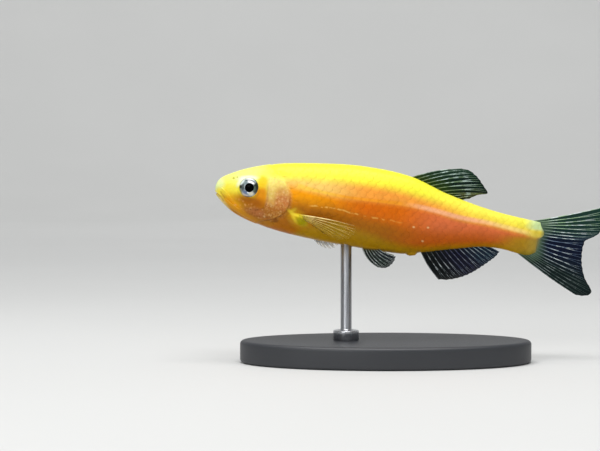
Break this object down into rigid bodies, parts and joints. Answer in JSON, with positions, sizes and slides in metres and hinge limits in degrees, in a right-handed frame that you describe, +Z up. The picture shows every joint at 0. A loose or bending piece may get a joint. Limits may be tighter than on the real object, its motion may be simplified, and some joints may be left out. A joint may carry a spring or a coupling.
{
  "type": "zebra danio",
  "caption": "Life-size still model of a swimming zebra danio, yellow and orange, nose slightly up, fins spread, held by a rod on an oval stand.",
  "frame": {"origin": "middle of the model's outline on the surface that the stand rests on", "axes": "+Z up; -X towards the fish's snout and +X towards its tail; -Y towards its left flank"},
  "size_m": [0.0458, 0.018, 0.0233],
  "materials": {
    "skin": "satin",
    "fin": "satin",
    "eye": "gloss",
    "barbel": "satin",
    "stand_paint": "satin",
    "stand_steel": "satin"
  },
  "bodies": {
    "root": {"head": "skin", "operculum_left": "skin", "operculum_right": "skin", "trunk": "skin", "caudal_peduncle": "skin", "eye_left": "eye", "eye_right": "eye", "barbel_rostral_left": "barbel", "barbel_rostral_right": "barbel", "barbel_maxillary_left": "barbel", "barbel_maxillary_right": "barbel", "dorsal_fin": "fin", "anal_fin": "fin", "caudal_fin_upper": "fin", "caudal_fin_lower": "fin", "pelvic_fin_left": "fin", "pelvic_fin_right": "fin", "pectoral_fin_left": "fin", "pectoral_fin_right": "fin", "stand_base": "stand_paint", "stand_rod": "stand_steel"}
  },
  "joints": []
}
